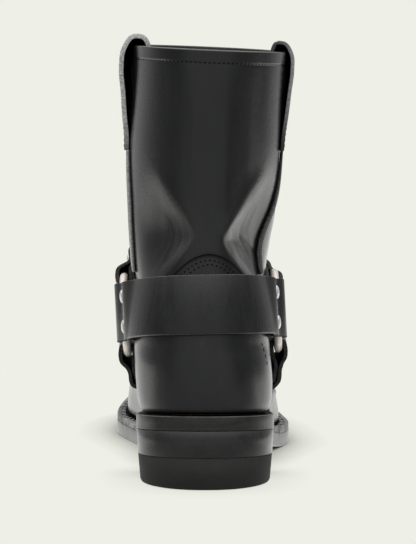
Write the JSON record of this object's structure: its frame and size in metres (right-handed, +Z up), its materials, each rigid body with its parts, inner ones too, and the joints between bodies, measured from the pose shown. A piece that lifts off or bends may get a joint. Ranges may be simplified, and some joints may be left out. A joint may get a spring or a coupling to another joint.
{
  "type": "harness boot",
  "caption": "Right-foot black leather harness boot: hollow pull-on shaft and foot on a welted sole and stacked heel, with straps folded round metal rings and pull loops at the collar",
  "frame": {"origin": "the middle of the heel's face on the floor", "axes": "+Y forward to the toe, +X to the outer side of the right foot, +Z up the shaft"},
  "size_m": [0.1067, 0.3023, 0.2509],
  "materials": {
    "leather": "satin black",
    "sole": "dull black edge",
    "heel_rubber": "matte black",
    "insole_board": "bare tan",
    "nickel": "worn nickel"
  },
  "bodies": {
    "root": {"upper": "leather", "vamp": "leather", "heel_counter": "leather", "side_seam_outer": "leather", "side_seam_inner": "leather", "heel_strap": "leather", "instep_strap": "leather", "arch_strap_outer": "leather", "arch_strap_inner": "leather", "pull_loop_outer": "leather", "pull_loop_inner": "leather", "outsole": "sole", "welt": "sole", "heel_block": "sole", "heel_cap": "heel_rubber", "insole": "insole_board", "ring_outer": "nickel", "ring_inner": "nickel", "rivet_heel_strap_outer_1": "nickel", "rivet_heel_strap_outer_2": "nickel", "rivet_heel_strap_inner_1": "nickel", "rivet_heel_strap_inner_2": "nickel", "rivet_instep_strap_outer_1": "nickel", "rivet_instep_strap_outer_2": "nickel", "rivet_instep_strap_inner_1": "nickel", "rivet_instep_strap_inner_2": "nickel", "rivet_arch_strap_outer_1": "nickel", "rivet_arch_strap_inner_1": "nickel"}
  },
  "joints": []
}
